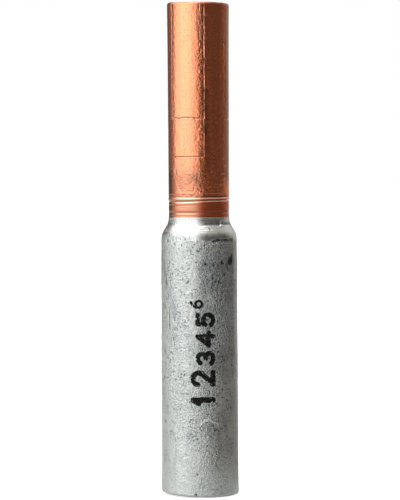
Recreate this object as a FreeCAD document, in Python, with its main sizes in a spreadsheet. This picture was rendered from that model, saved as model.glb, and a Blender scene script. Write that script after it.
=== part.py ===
"""Bimetal crimp sleeve that joins an aluminium conductor to a copper one.

Two turned barrels are friction-welded face to face. Each is drilled blind from its own mouth, so the
metal left between the bores keeps water from passing from one conductor to the other. The aluminium
barrel is the thicker of the two and steps down at a turned shoulder to the copper barrel's diameter.

The frame: origin at the middle of the aluminium mouth, +Z along the sleeve towards the copper mouth,
and -Y to the front. All lengths are in millimetres and all angles in degrees.
"""

import FreeCAD, Part
import os

import Sketcher

# Driving sizes: name, value, and what it measures.
SIZES = [
    ("aluminium_length", 40.4, "aluminium barrel, mouth to weld face"),
    ("aluminium_diameter", 11.0, "aluminium barrel, outside"),
    ("aluminium_bore", 6.0, "hole for the aluminium conductor"),
    ("aluminium_bore_depth", 33.0, "depth of that hole at its full width"),
    ("flare_length", 5.0, "stretch at the aluminium mouth that widens"),
    ("flare_rise", 0.06, "how far the mouth widens on each side"),
    ("shoulder_slope", 27.5, "angle between the turned shoulder and the axis"),
    ("shoulder_round", 2.6, "radius where the shoulder meets the barrel"),
    ("root_round", 1.6, "radius where the shoulder meets the neck"),
    ("neck_length", 0.5, "straight aluminium land below the weld"),
    ("copper_length", 30.9, "copper barrel, weld face to mouth"),
    ("copper_diameter", 9.0, "copper barrel, outside at its mouth"),
    ("neck_diameter", 8.8, "both metals at the weld, and the turned band"),
    ("copper_bore", 6.0, "hole for the copper conductor"),
    ("copper_bore_depth", 25.0, "depth of that hole at its full width"),
    ("band_length", 3.7, "band turned on the copper above the weld"),
    ("groove_height", 2.36, "lowest turning groove above the weld"),
    ("groove_pitch", 0.5, "from one turning groove to the next"),
    ("groove_width", 0.4, "turning groove at the surface"),
    ("groove_depth", 0.08, "turning groove below the surface"),
    ("first_grip_height", 8.7, "end of the chuck jaws above the weld, first hold"),
    ("first_grip_turn", 10.5, "turn of a jaw's edge from the front, first hold"),
    ("second_grip_height", 14.15, "end of the chuck jaws above the weld, second hold"),
    ("second_grip_turn", -58.0, "turn of a jaw's edge from the front, second hold"),
    ("scribe_depth", 0.04, "how deep the jaws' edges bit into the copper"),
    ("scribe_width", 0.2, "line that the end of the jaws left round the barrel"),
    ("scribe_angle", 2.6, "line that a jaw's side edge left along the barrel"),
    ("mouth_round", 0.35, "radius on the outer edge of each mouth"),
    ("mouth_bevel", 0.3, "width of the bevel inside each mouth"),
    ("drill_angle", 118.0, "point angle of the drill that made the bores"),
]
GROOVE_COUNT = 3
JAW_COUNT = 3
BEVEL_ANGLE = 90
CLEAR_OF_SURFACE = 1.0
CIRCLE_TOLERANCE = 1e-4
FULL_TURN = 360
QUARTER_TURN = 90


def make_sheet(doc):
    """Writes the driving sizes into a spreadsheet, one row each, with an alias for every value."""
    sheet = doc.addObject("Spreadsheet::Sheet", "Sizes")
    for row, (alias, value, meaning) in enumerate(SIZES, start=1):
        sheet.set(f"A{row}", alias)
        sheet.set(f"B{row}", str(value))
        sheet.set(f"C{row}", meaning)
        sheet.setAlias(f"B{row}", alias)
    doc.recompute()
    return sheet


def origin_feature(body, role):
    """The body's own origin plane or axis with that role, such as XZ_Plane or Z_Axis."""
    for feature in body.Origin.OriginFeatures:
        if feature.Role == role:
            return feature
    raise ValueError(f"{body.Label} has no {role}")


def add_sketch(body, name, plane):
    """A new sketch on one of the body's origin planes."""
    sketch = body.newObject("Sketcher::SketchObject", name)
    sketch.AttachmentSupport = (origin_feature(body, plane), [""])
    sketch.MapMode = "FlatFace"
    body.Document.recompute()
    return sketch


def bind(sketch, constraint, expression):
    """Adds a dimension to the sketch and ties it to an expression of the driving sizes."""
    index = sketch.addConstraint(constraint)
    sketch.setExpression(f"Constraints[{index}]", expression)


def draw_outline(sketch, corners):
    """Draws a closed outline of straight lines through corners, each (across, up).

    Both are expressions of the driving sizes, or None on the sketch's own axis. A line whose ends
    share an expression is made upright or level instead of being dimensioned twice.
    """
    def measure(expression):
        return float(sketch.evalExpression(expression)) if expression else 0.0

    points = [FreeCAD.Vector(measure(across), measure(up), 0) for across, up in corners]
    count = len(points)
    for here in range(count):
        sketch.addGeometry(Part.LineSegment(points[here], points[(here + 1) % count]), False)
    for here in range(count):
        sketch.addConstraint(Sketcher.Constraint("Coincident", here, 2, (here + 1) % count, 1))
    for here, (across, up) in enumerate(corners):
        last_across, last_up = corners[here - 1]
        shares_across = here > 0 and across == last_across
        shares_up = here > 0 and up == last_up
        if across is None:
            sketch.addConstraint(Sketcher.Constraint("PointOnObject", here, 1, -2))
        elif shares_across:
            sketch.addConstraint(Sketcher.Constraint("Vertical", here - 1))
        else:
            bind(sketch, Sketcher.Constraint("DistanceX", -1, 1, here, 1, points[here].x), across)
        if up is None:
            sketch.addConstraint(Sketcher.Constraint("PointOnObject", here, 1, -1))
        elif shares_up:
            sketch.addConstraint(Sketcher.Constraint("Horizontal", here - 1))
        else:
            bind(sketch, Sketcher.Constraint("DistanceY", -1, 1, here, 1, points[here].y), up)


def turn_solid(body, name, corners):
    """Revolves an outline in the XZ plane a full turn about the sleeve's axis."""
    sketch = add_sketch(body, f"{name}_outline", "XZ_Plane")
    draw_outline(sketch, corners)
    body.Document.recompute()
    solid = body.newObject("PartDesign::Revolution", name)
    solid.Profile = sketch
    solid.ReferenceAxis = (sketch, ["V_Axis"])
    solid.Angle = FULL_TURN
    body.Document.recompute()
    return solid


def cut_round(body, name, sketch, angle):
    """Cuts a sketched outline away by turning it about the sleeve's axis through that angle."""
    before = body.Shape.Volume
    cut = body.newObject("PartDesign::Groove", name)
    cut.Profile = sketch
    cut.ReferenceAxis = (sketch, ["V_Axis"])
    if isinstance(angle, str):
        cut.setExpression("Angle", angle)
    else:
        cut.Angle = angle
    body.Document.recompute()
    if not body.Shape.Volume < before:
        raise ValueError(f"{name} removed nothing")
    return cut


def drill(body, name, height, diameter, depth, bevel, from_below):
    """Drills a blind hole with a cone-shaped end from the mouth at that height, and bevels its rim."""
    sketch = add_sketch(body, f"{name}_centre", "XY_Plane")
    if height:
        sketch.setExpression("AttachmentOffset.Base.z", height)
    radius = float(sketch.evalExpression(diameter)) / 2
    circle = Part.Circle(FreeCAD.Vector(0, 0, 0), FreeCAD.Vector(0, 0, 1), radius)
    sketch.addGeometry(circle, False)
    sketch.addConstraint(Sketcher.Constraint("Coincident", 0, 3, -1, 1))
    bind(sketch, Sketcher.Constraint("Diameter", 0, 2 * radius), diameter)
    body.Document.recompute()
    before = body.Shape.Volume
    hole = body.newObject("PartDesign::Hole", name)
    hole.Profile = sketch
    body.Document.recompute()
    hole.Reversed = from_below
    hole.DepthType = "Dimension"
    hole.setExpression("Depth", depth)
    hole.setExpression("Diameter", diameter)
    hole.DrillPoint = "Angled"
    hole.setExpression("DrillPointAngle", "Sizes.drill_angle")
    hole.HoleCutType = "Countersink"
    hole.HoleCutCountersinkAngle = BEVEL_ANGLE
    hole.setExpression("HoleCutDiameter", f"{diameter} + 2 * {bevel}")
    body.Document.recompute()
    if not body.Shape.Volume < before:
        raise ValueError(f"{name} removed nothing")
    return hole


def round_edge(body, name, radius, height, fillet):
    """Rounds the circular edge of that radius and height, both expressions, with a bound fillet."""
    base = body.Tip
    wanted_radius = float(base.evalExpression(radius))
    wanted_height = float(base.evalExpression(height))
    found = []
    for index, edge in enumerate(base.Shape.Edges, start=1):
        if not isinstance(edge.Curve, Part.Circle):
            continue
        same_radius = abs(edge.Curve.Radius - wanted_radius) < CIRCLE_TOLERANCE
        if same_radius and abs(edge.Curve.Center.z - wanted_height) < CIRCLE_TOLERANCE:
            found.append(f"Edge{index}")
    if not found:
        raise ValueError(f"{name} found no edge to round")
    feature = body.newObject("PartDesign::Fillet", name)
    feature.Base = (base, found)
    feature.setExpression("Radius", fillet)
    body.Document.recompute()
    return feature


def make_aluminium_barrel(doc):
    """The thick barrel: flared mouth, plain outside, turned shoulder, short neck, blind bore."""
    body = doc.addObject("PartDesign::Body", "aluminium_barrel")
    body.Label = "aluminium_barrel"
    radius = "Sizes.aluminium_diameter / 2"
    neck = "Sizes.neck_diameter / 2"
    mouth = f"{radius} + Sizes.flare_rise"
    neck_foot = "Sizes.aluminium_length - Sizes.neck_length"
    shoulder_foot = f"{neck_foot} - ({radius} - {neck}) / tan(Sizes.shoulder_slope * 1 deg)"
    turn_solid(
        body,
        "aluminium_turning",
        [
            (None, None),
            (mouth, None),
            (radius, "Sizes.flare_length"),
            (radius, shoulder_foot),
            (neck, neck_foot),
            (neck, "Sizes.aluminium_length"),
            (None, "Sizes.aluminium_length"),
        ],
    )
    round_edge(body, "shoulder_blend", radius, shoulder_foot, "Sizes.shoulder_round")
    round_edge(body, "root_blend", neck, neck_foot, "Sizes.root_round")
    round_edge(body, "aluminium_mouth_edge", mouth, "0", "Sizes.mouth_round")
    drill(
        body,
        "aluminium_bore",
        None,
        "Sizes.aluminium_bore",
        "Sizes.aluminium_bore_depth",
        "Sizes.mouth_bevel",
        from_below=True,
    )
    return body


def make_copper_barrel(doc):
    """The thin barrel: turned band at the weld, plain outside that opens to its mouth, blind bore.

    It is drawn from its weld face, and stands on the aluminium barrel's weld face.
    """
    body = doc.addObject("PartDesign::Body", "copper_barrel")
    body.Label = "copper_barrel"
    body.setExpression("Placement.Base.z", "Sizes.aluminium_length")
    neck = "Sizes.neck_diameter / 2"
    mouth = "Sizes.copper_diameter / 2"
    turn_solid(
        body,
        "copper_turning",
        [
            (None, None),
            (neck, None),
            (neck, "Sizes.band_length"),
            (mouth, "Sizes.copper_length"),
            (None, "Sizes.copper_length"),
        ],
    )
    round_edge(body, "copper_mouth_edge", mouth, "Sizes.copper_length", "Sizes.mouth_round")
    drill(
        body,
        "copper_bore",
        "Sizes.copper_length",
        "Sizes.copper_bore",
        "Sizes.copper_bore_depth",
        "Sizes.mouth_bevel",
        from_below=False,
    )
    cut_turning_grooves(body, neck)
    scribe_jaw_marks(body, "first_grip", neck, mouth)
    scribe_jaw_marks(body, "second_grip", neck, mouth)
    return body


def draw_notch(body, name, surface, height, width, depth):
    """Draws the V section of a notch round the barrel, open beyond the surface at that height."""
    sketch = add_sketch(body, f"{name}_outline", "XZ_Plane")
    spread = f"{width} / 2 * (1 + {CLEAR_OF_SURFACE} / {depth})"
    outside = f"{surface} + {CLEAR_OF_SURFACE}"
    draw_outline(
        sketch,
        [
            (f"{surface} - {depth}", height),
            (outside, f"{height} - {spread}"),
            (outside, f"{height} + {spread}"),
        ],
    )
    body.Document.recompute()
    return sketch


def cut_turning_grooves(body, neck):
    """Cuts the shallow V grooves that the lathe tool left in the band above the weld."""
    sketch = draw_notch(
        body,
        "turning_groove",
        neck,
        "Sizes.groove_height",
        "Sizes.groove_width",
        "Sizes.groove_depth",
    )
    groove = cut_round(body, "turning_groove", sketch, FULL_TURN)
    pattern = body.newObject("PartDesign::LinearPattern", "turning_grooves")
    pattern.Originals = [groove]
    pattern.Direction = (origin_feature(body, "Z_Axis"), [""])
    pattern.Occurrences = GROOVE_COUNT
    pattern.setExpression("Length", f"Sizes.groove_pitch * {GROOVE_COUNT - 1}")
    body.Tip = pattern
    body.Document.recompute()


def scribe_jaw_marks(body, grip, neck, mouth):
    """Cuts the lines that the chuck's jaws bit into the copper in one hold: one round the barrel at
    the jaws' end, and one along it from there to the mouth at each jaw's side edge."""
    height = f"Sizes.{grip}_height"
    rise = f"({height} - Sizes.band_length) / (Sizes.copper_length - Sizes.band_length)"
    surface = f"({neck} + ({mouth} - {neck}) * {rise})"
    ring = draw_notch(
        body, f"{grip}_ring", surface, height, "Sizes.scribe_width", "Sizes.scribe_depth"
    )
    cut_round(body, f"{grip}_ring", ring, FULL_TURN)

    sketch = add_sketch(body, f"{grip}_line_outline", "XZ_Plane")
    outside = f"{mouth} + {CLEAR_OF_SURFACE}"
    above = f"Sizes.copper_length + {CLEAR_OF_SURFACE}"
    draw_outline(
        sketch,
        [
            (f"{surface} - Sizes.scribe_depth", height),
            (outside, height),
            (outside, above),
            (f"{mouth} - Sizes.scribe_depth", above),
            (f"{mouth} - Sizes.scribe_depth", "Sizes.copper_length"),
        ],
    )
    sketch.AttachmentOffset = FreeCAD.Placement(
        FreeCAD.Vector(0, 0, 0), FreeCAD.Rotation(FreeCAD.Vector(0, 1, 0), 1)
    )
    turn = f"Sizes.{grip}_turn + Sizes.scribe_angle / 2 - {QUARTER_TURN}"
    sketch.setExpression("AttachmentOffset.Rotation.Angle", turn)
    body.Document.recompute()
    line = cut_round(body, f"{grip}_line", sketch, "Sizes.scribe_angle")
    pattern = body.newObject("PartDesign::PolarPattern", f"{grip}_lines")
    pattern.Originals = [line]
    pattern.Axis = (origin_feature(body, "Z_Axis"), [""])
    pattern.Angle = FULL_TURN
    pattern.Occurrences = JAW_COUNT
    body.Tip = pattern
    body.Document.recompute()


def check(doc, bodies):
    """Stops unless every object computed and every barrel is one valid closed solid."""
    for item in doc.Objects:
        if "Invalid" in item.State or "Error" in item.State:
            raise ValueError(f"{item.Label} did not compute: {item.State}")
    for body in bodies:
        shape = body.Shape
        if shape.isNull() or not shape.isValid() or len(shape.Solids) != 1:
            raise ValueError(f"{body.Label} is not one valid solid")


def main():
    doc = FreeCAD.newDocument("crimp_sleeve")
    make_sheet(doc)
    bodies = [make_aluminium_barrel(doc), make_copper_barrel(doc)]
    doc.recompute()
    check(doc, bodies)
    os.makedirs("parts", exist_ok=True)
    for body in bodies:
        body.Shape.exportStep(os.path.join("parts", f"{body.Label}.step"))
        print(body.Label, round(body.Shape.Volume, 3), "mm3", body.Shape.BoundBox)


main()
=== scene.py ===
"""The looks of a bimetal crimp sleeve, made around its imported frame.

The sleeve stands on its aluminium mouth: a satin aluminium barrel below, a turned shoulder, the weld,
and a bright copper barrel above. Each barrel is one closed mesh with its turning rings, jaw lines,
pits and saw-cut mouth as real relief, and the marking is a thin film of ink laid on the aluminium.

Sizes are in millimetres and degrees, and a turn is measured from the front, plus to the right. The
studio round the sleeve is in metres.
"""

import logging
import math
from dataclasses import dataclass
from enum import Enum
from functools import reduce

import bpy
import numpy as np
from mathutils import Matrix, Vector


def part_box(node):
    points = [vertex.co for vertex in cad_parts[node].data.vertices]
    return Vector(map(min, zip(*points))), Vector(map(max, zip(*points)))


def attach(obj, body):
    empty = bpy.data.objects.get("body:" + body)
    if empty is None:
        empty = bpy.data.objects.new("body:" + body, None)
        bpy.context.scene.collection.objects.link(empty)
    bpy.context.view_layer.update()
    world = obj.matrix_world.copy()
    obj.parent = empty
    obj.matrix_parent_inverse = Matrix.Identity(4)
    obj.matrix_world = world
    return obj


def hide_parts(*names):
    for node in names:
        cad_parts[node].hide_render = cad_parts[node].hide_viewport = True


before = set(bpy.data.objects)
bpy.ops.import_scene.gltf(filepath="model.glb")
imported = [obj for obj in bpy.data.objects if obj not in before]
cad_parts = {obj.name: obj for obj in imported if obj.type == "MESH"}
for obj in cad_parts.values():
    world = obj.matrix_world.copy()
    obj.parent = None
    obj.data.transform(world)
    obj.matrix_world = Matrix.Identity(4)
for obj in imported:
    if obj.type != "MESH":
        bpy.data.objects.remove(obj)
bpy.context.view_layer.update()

LOG = logging.getLogger("sleeve")
MM = 0.001
BODY = "root"
FULL_TURN = 360.0
FRONT = 95.0
GRAIN_REACH = 80.0
CENTRE = 0.05
NO_FOOT = (-2.0, -1.0)
NO_HEAD = (99.0, 98.0)
CLOSE_BY = np.linspace(-0.32, 0.32, 17)
LEAST_GAP = 0.012
END_GAP = 0.01
STEP_IN = 0.02

Array = np.ndarray
Pair = tuple[float, float]
Colour = tuple[float, float, float]
Socket = bpy.types.NodeSocket
Value = Socket | Colour | float
Inputs = dict[str | int, Value]
Faces = list[tuple[int, ...]]


class Spread(Enum):
    """How a colour ramp runs from one stop to the next."""

    LINEAR = "LINEAR"
    EASE = "EASE"


class Run(Enum):
    """Which way a line bitten into a barrel runs."""

    ROUND = "round"
    ALONG = "along"


def smooth(low: float, high: float, value: Array) -> Array:
    """Rises from 0 at low to 1 at high with level ends, or falls where high lies below low."""
    share = np.clip((value - low) / (high - low), 0.0, 1.0)
    return share * share * (3.0 - 2.0 * share)


def bell(value: Array, middle: float, reach: float) -> Array:
    """How near each value is to the middle: 1 there, 0.37 at the reach, and soon nothing beyond."""
    return np.exp(-(((value - middle) / reach) ** 2))


def strongest(*shares: Array) -> Array:
    """The greatest of several shares at each point."""
    return reduce(np.maximum, shares)


def blended(table: Array, row: Array, left: Array, right: Array, across: Array, up: Array) -> Array:
    """Values between two columns of a table, by the share across, and two rows, by the share up."""
    low, high = (table[at, left] * (1 - across) + table[at, right] * across for at in (row, row + 1))
    return low * (1 - up) + high * up


def about_axis(radius: Array, turn: Array) -> tuple[Array, Array]:
    """The x and y of points at a distance from the sleeve's axis and a turn round it."""
    angle = np.radians(turn)
    return radius * np.sin(angle), -radius * np.cos(angle)


def oval(middle: Pair, radii: Pair, start: float, end: float, count: int = 48) -> Array:
    """Points on an oval arc, whose radii are across and up, from start to end in degrees."""
    angle = np.radians(np.linspace(start, end, count))
    return np.stack([middle[0] + radii[0] * np.cos(angle), middle[1] + radii[1] * np.sin(angle)], axis=1)


@dataclass(frozen=True)
class Skin:
    """Points on a barrel's skin: turns and heights that fit each other, and the radius for ways round."""

    turn: Array
    height: Array
    radius: float = 0.0

    def side(self, middle: float = 0.0) -> Array:
        """The shorter way round from middle to each turn, in degrees."""
        return (self.turn - middle + FULL_TURN / 2) % FULL_TURN - FULL_TURN / 2

    def above(self, level: float) -> "Skin":
        """The same points, with heights measured from a level."""
        return Skin(self.turn, self.height - level, self.radius)

    def grain(self, seed: int, around: int, along: float) -> Array:
        """Seeded smooth noise that closes on itself round the barrel.

        Args:
            seed: Fixes the noise.
            around: How many steps of it go round.
            along: How tall each step is.

        Returns:
            Values from -1 to 1.
        """
        rows = int(GRAIN_REACH / along) + 4
        lattice = np.random.default_rng(seed).uniform(-1.0, 1.0, (rows, around))
        across = (self.turn / FULL_TURN * around) % around
        up = np.clip(self.height / along + 1.0, 0.0, rows - 2.0)
        column, row = np.floor(across).astype(int), np.floor(up).astype(int)
        ease_across, ease_up = smooth(0.0, 1.0, across - column), smooth(0.0, 1.0, up - row)
        return blended(lattice, row, column % around, (column + 1) % around, ease_across, ease_up)

    def round_grain(self, seed: int, around: int) -> Array:
        """Noise that changes only round the barrel."""
        return Skin(self.turn, 0 * self.turn).grain(seed, around, GRAIN_REACH)

    def long_grain(self, seed: int, along: float) -> Array:
        """Noise that changes only along the barrel."""
        return Skin(0 * self.height, self.height).grain(seed, 3, along)

    def rough(self, *layers: tuple[float, int, int, float]) -> Array:
        """The sum of layers of noise, each an amount, then its seed and steps round and along."""
        return sum(amount * self.grain(*steps) for amount, *steps in layers)

    def streak(self, middle: float, reach: float, foot: Pair = NO_FOOT, head: Pair = NO_HEAD) -> Array:
        """A soft streak up the barrel, which comes in over its foot's heights and ends over its head's."""
        return bell(self.side(middle), 0.0, reach) * smooth(*foot, self.height) * smooth(*head, self.height)


@dataclass(frozen=True)
class Mark:
    """One pit, nick or scratch: an oval hollow, or a raised one where depth is below zero."""

    turn: float
    height: float
    length: float
    width: float
    depth: float
    slope: float = 0.0

    def press(self, at: Skin) -> Array:
        """How much of the mark reaches each point.

        Args:
            at: The points.

        Returns:
            Shares from 0 to 1.
        """
        side = np.radians(at.side(self.turn)) * at.radius
        rise = at.height - self.height
        lean = math.radians(self.slope)
        along = side * math.sin(lean) + rise * math.cos(lean)
        across = side * math.cos(lean) - rise * math.sin(lean)
        return np.exp(-((2 * along / self.length) ** 2) - (2 * across / self.width) ** 2)


def scatter(seed: int, count: int, heights: Pair, size: float, depth: float) -> tuple[Mark, ...]:
    """Small marks in seeded places all over a barrel.

    Args:
        seed: Fixes the places.
        count: How many.
        heights: The lowest and the highest.
        size: The longest.
        depth: The deepest.

    Returns:
        The marks.
    """
    draw = np.random.default_rng(seed)
    return tuple(
        Mark(
            turn=draw.uniform(0.0, FULL_TURN),
            height=draw.uniform(*heights),
            length=size * draw.uniform(0.4, 1.0),
            width=size * draw.uniform(0.25, 0.5),
            depth=depth * draw.uniform(0.3, 1.0),
            slope=draw.uniform(-90.0, 90.0),
        )
        for _ in range(count)
    )


@dataclass(frozen=True)
class Ring:
    """A lathe tool's groove round a barrel, or a ridge where depth is below zero.

    Its height is measured from the weld. Its upper wall reaches over it and its lower wall under it.
    It dips on the left by its tilt and rises by as much on the right, where it may also be deeper.
    Its lower wall is bare metal, with a painted highlight, by the share that it names.
    """

    height: float
    over: float
    under: float
    depth: float
    tilt: float = 0.05
    bare: float = 0.0
    more_right: float = 0.0

    def off(self, at: Skin) -> Array:
        """How far each point lies above the groove's bottom."""
        return at.height - self.height - self.tilt * np.tanh(2.0 * np.sin(np.radians(at.turn)))

    def wall(self, at: Skin) -> Array:
        """How near each point is to the groove's bottom, from 0 at its rims to 1."""
        off = self.off(at)
        return np.clip(1.0 - np.where(off > 0, off / self.over, -off / self.under), 0.0, 1.0)

    def cut(self, at: Skin) -> Array:
        """How bare the lower wall is, with its painted highlight, at each point, from 0 to 1."""
        half = self.under * 0.5
        return self.bare * bell(self.off(at), -half, half)

    def press(self, at: Skin) -> Array:
        """How far the ring sinks the skin at each point."""
        more = 1.0 + self.more_right * smooth(5.0, 30.0, at.side(20.0) + 20.0)
        return self.depth * self.wall(at) * more


@dataclass(frozen=True)
class Bite:
    """A crack, or a line bitten into a barrel by a chuck jaw's edge, with a low lip on each side.

    Its place is the turn of a line that runs along the barrel or the height of one that runs round
    it, and start and end are in the other measure.
    """

    run: Run
    place: float
    start: float
    end: float
    width: float = 0.28
    depth: float = 0.06
    lip: float = 0.010
    wander: float = 0.02

    def reach(self, at: Skin) -> tuple[Array, Array]:
        """Where each point lies beside the line.

        Args:
            at: The points.

        Returns:
            The distance from the line's middle, and how strong the line is there.
        """
        seed = int(abs(self.place) * 7) + 3
        if self.run is Run.ALONG:
            off = np.radians(at.side(self.place)) * at.radius + self.wander * at.long_grain(seed, 1.1)
            within = smooth(self.start - 0.15, self.start + 0.05, at.height)
            within = within * smooth(self.end + 0.15, self.end - 0.05, at.height)
            return off, within * (0.8 + 0.3 * at.long_grain(seed + 1, 0.6))
        off = at.height - self.place + self.wander * at.round_grain(seed, 60)
        middle, half = (self.start + self.end) / 2, (self.end - self.start) / 2
        within = smooth(half + 2.0, half - 1.0, np.abs(at.side(middle)))
        return off, within * (0.8 + 0.3 * at.round_grain(seed + 1, 90))

    def press(self, at: Skin) -> Array:
        """How far the line sinks the skin at each point.

        Args:
            at: The points.

        Returns:
            Depths in millimetres, below zero on the lips.
        """
        off, strength = self.reach(at)
        half = self.width / 2
        valley = self.depth * np.clip(1 - np.abs(off) / half, 0, 1)
        return (valley - self.lip * bell(np.abs(off), half * 1.2, half * 0.5)) * strength

    def worn(self, at: Skin) -> tuple[Array, Array]:
        """How the line has changed the skin at each point.

        Args:
            at: The points.

        Returns:
            The share of bare metal with a painted highlight, on the wall that was scraped, and the share
            of dirt with painted shade, on the other.
        """
        off, strength = self.reach(at)
        half = self.width / 2
        long = self.run is Run.ALONG
        scraped = off if long else -off
        bare = (0.45 if long else 0.25) * bell(scraped, half * 0.6, half * 0.6)
        dirty = bell(scraped, half * -0.3, half * 0.7)
        if long:
            dirty = dirty + 0.55 * bell(scraped, half * 1.9, half * 0.5)
        return bare * strength, np.minimum(dirty, 1.0) * strength


@dataclass(frozen=True)
class Rings:
    """The rings of points of a turned shell, from the bottom of its bore round to its weld face.

    Each ring has a radius and a height, the way that its skin faces, and its share of the relief. A
    shell climbs where its outside runs upward.
    """

    radius: Array
    height: Array
    out: Array
    up: Array
    skin: Array
    climbs: bool

    @staticmethod
    def through(stretches: list[tuple[Array, float]]) -> "Rings":
        """Strings stretches of points together and finds which way each ring faces.

        Args:
            stretches: Each an array of (radius, height) rows, and the share of the relief it takes.

        Returns:
            The rings, in order, with repeated points left out.
        """
        points = np.concatenate([points for points, _ in stretches])
        skin = np.concatenate([np.full(len(points), share) for points, share in stretches])
        keep = np.ones(len(points), bool)
        keep[1:] = np.linalg.norm(np.diff(points, axis=0), axis=1) > 1e-6
        points, skin = points[keep], skin[keep]
        tangent = np.gradient(points, axis=0)
        tangent /= np.linalg.norm(tangent, axis=1, keepdims=True)
        climbs = bool(tangent[skin == 1.0, 1].sum() > 0)
        if climbs:
            tangent = -tangent
        return Rings(points[:, 0], points[:, 1], -tangent[:, 1], tangent[:, 0], skin, climbs)


def spaced(start: float, end: float, pitch: float, busy: tuple[float, ...] = ()) -> Array:
    """Heights from start to end, with more of them about each busy height.

    Args:
        start: The first height.
        end: The last, above or below the first.
        pitch: The plain distance between two heights.
        busy: Heights that need a closer spacing.

    Returns:
        The heights, in order from start to end.
    """
    low, high = min(start, end), max(start, end)
    plain = np.linspace(low, high, int((high - low) / pitch) + 1)[1:-1]
    close = [height + CLOSE_BY for height in busy]
    inner = np.sort(np.concatenate([plain, *close]))
    inner = inner[(inner > low + END_GAP) & (inner < high - END_GAP)]
    apart = np.diff(inner, prepend=low) > LEAST_GAP
    heights = np.concatenate([[low], inner[apart], [high]])
    return heights if end > start else heights[::-1]


@dataclass
class NodeSheet:
    """The node tree of one finish, with short ways to add and join nodes."""

    tree: bpy.types.NodeTree

    def add(self, kind: str, inputs: Inputs | None = None, **settings: object) -> bpy.types.Node:
        """A new node.

        Args:
            kind: Its type, without the word ShaderNode.
            inputs: What its inputs are joined or set to.
            settings: Its other settings.

        Returns:
            The node.
        """
        node = self.tree.nodes.new(f"ShaderNode{kind}")
        for name, value in settings.items():
            setattr(node, name, value)
        self.feed(node, inputs or {})
        return node

    def feed(self, node: bpy.types.Node, inputs: Inputs) -> None:
        """Joins a node's inputs to other nodes' outputs, or sets them to plain values.

        Args:
            node: The node.
            inputs: The value of each input, by its name or number.
        """
        for name, value in inputs.items():
            socket = node.inputs[name]
            if isinstance(value, Socket):
                self.tree.links.new(value, socket)
            else:
                socket.default_value = (*value, 1.0) if socket.type == "RGBA" else value

    def calculate(self, operation: str, *values: Value, clamp: bool = False) -> Socket:
        """The result of a Math node on one to three values, kept from 0 to 1 if clamped."""
        return self.add("Math", dict(enumerate(values)), operation=operation, use_clamp=clamp).outputs[0]

    def times(self, first: Value, second: Value, clamp: bool = False) -> Socket:
        """The product of two values."""
        return self.calculate("MULTIPLY", first, second, clamp=clamp)

    def plus(self, first: Value, factor: Value, second: Value) -> Socket:
        """A value, times a factor, plus another value."""
        return self.calculate("MULTIPLY_ADD", first, factor, second)

    def ramp(
        self, factor: Value, stops: list[tuple[float, Colour | float]], spread: Spread = Spread.LINEAR
    ) -> Socket:
        """The colour that a ramp gives.

        Args:
            factor: What runs along the ramp.
            stops: Each a place from 0 to 1 and a grey level or a colour.
            spread: How the ramp runs between stops.

        Returns:
            The colour socket.
        """
        node = self.add("ValToRGB", {0: factor})
        node.color_ramp.interpolation = spread.value
        elements = node.color_ramp.elements
        while len(elements) < len(stops):
            elements.new(0.5)
        for element, (place, colour) in zip(elements, stops):
            element.position = place
            element.color = (*(colour if isinstance(colour, tuple) else (colour,) * 3), 1.0)
        return node.outputs[0]

    def place(self) -> Socket:
        """Where on the object a point lies."""
        return self.add("TexCoord").outputs["Object"]

    def grain(self, place: Value, scale: float, detail: float = 2.0, rough: float = 0.5) -> Socket:
        """The grey level of a noise texture, from 0 to 1."""
        inputs = {"Vector": place, "Scale": scale, "Detail": detail, "Roughness": rough}
        return self.add("TexNoise", inputs).outputs["Fac"]

    def stretched(self, place: Value, stretch: Colour) -> Socket:
        """A place scaled by its own factor along each axis."""
        return self.add("Mapping", {"Vector": place, "Scale": stretch}).outputs[0]

    def tooled(self, place: Value) -> Socket:
        """The grey level of the fine lines that a lathe tool leaves round a barrel."""
        return self.grain(self.stretched(place, (0.04, 0.04, 1.0)), 7000.0, 3.0, 0.6)

    def worn(self, share: str | Value) -> Value:
        """A share as it is, or read off the mesh where it is given by the name painted there."""
        painted = isinstance(share, str)
        return self.add("Attribute", attribute_name=share).outputs["Fac"] if painted else share

    def mixed(self, share: Value, first: Value, second: Value) -> Socket:
        """A mix of two colours, with that share of the second."""
        return self.add("Mix", {0: share, 6: first, 7: second}, data_type="RGBA").outputs[2]

    def layered(self, ground: Value, layers: list[tuple[str | Value, Colour]]) -> Value:
        """A colour with others laid over it.

        Args:
            ground: The first colour.
            layers: Each a share, or the name of a painted one, and a colour.

        Returns:
            The last mix.
        """
        for share, colour in layers:
            ground = self.mixed(self.worn(share), ground, colour)
        return ground

    def faded(self, level: Value, share: str | Value) -> Socket:
        """A grey level that swings about zero, and less where the share is small."""
        return self.times(self.calculate("SUBTRACT", level, 0.5), self.worn(share))

    def bumped(self, *layers: tuple[Value, float]) -> Value:
        """A surface normal bumped by grey levels.

        Args:
            layers: Each a grey level and the bump's height in millimetres.

        Returns:
            The normal socket.
        """
        onto = {}
        for level, depth in layers:
            node = self.add("Bump", {"Strength": 1.0, "Distance": depth * MM, "Height": level, **onto})
            onto = {"Normal": node.outputs[0]}
        return onto["Normal"]

    def dress(self, **inputs: Value) -> None:
        """Sets or joins inputs of the Principled shader, named with _ for each space."""
        named = {name.replace("_", " "): value for name, value in inputs.items()}
        self.feed(self.tree.nodes["Principled BSDF"], named)

    def surface(self, shader: bpy.types.Node) -> None:
        """Ends the tree in that shader."""
        self.add("OutputMaterial", {"Surface": shader.outputs[0]})


def new_finish(name: str, cleared: bool = False) -> tuple[bpy.types.Material, NodeSheet]:
    """A new material and its node sheet.

    Args:
        name: The material's name.
        cleared: Whether its Principled shader is taken out.

    Returns:
        The material, and the sheet.
    """
    material = bpy.data.materials.new(name)
    material.use_nodes = True
    if cleared:
        material.node_tree.nodes.clear()
    return material, NodeSheet(material.node_tree)


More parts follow.
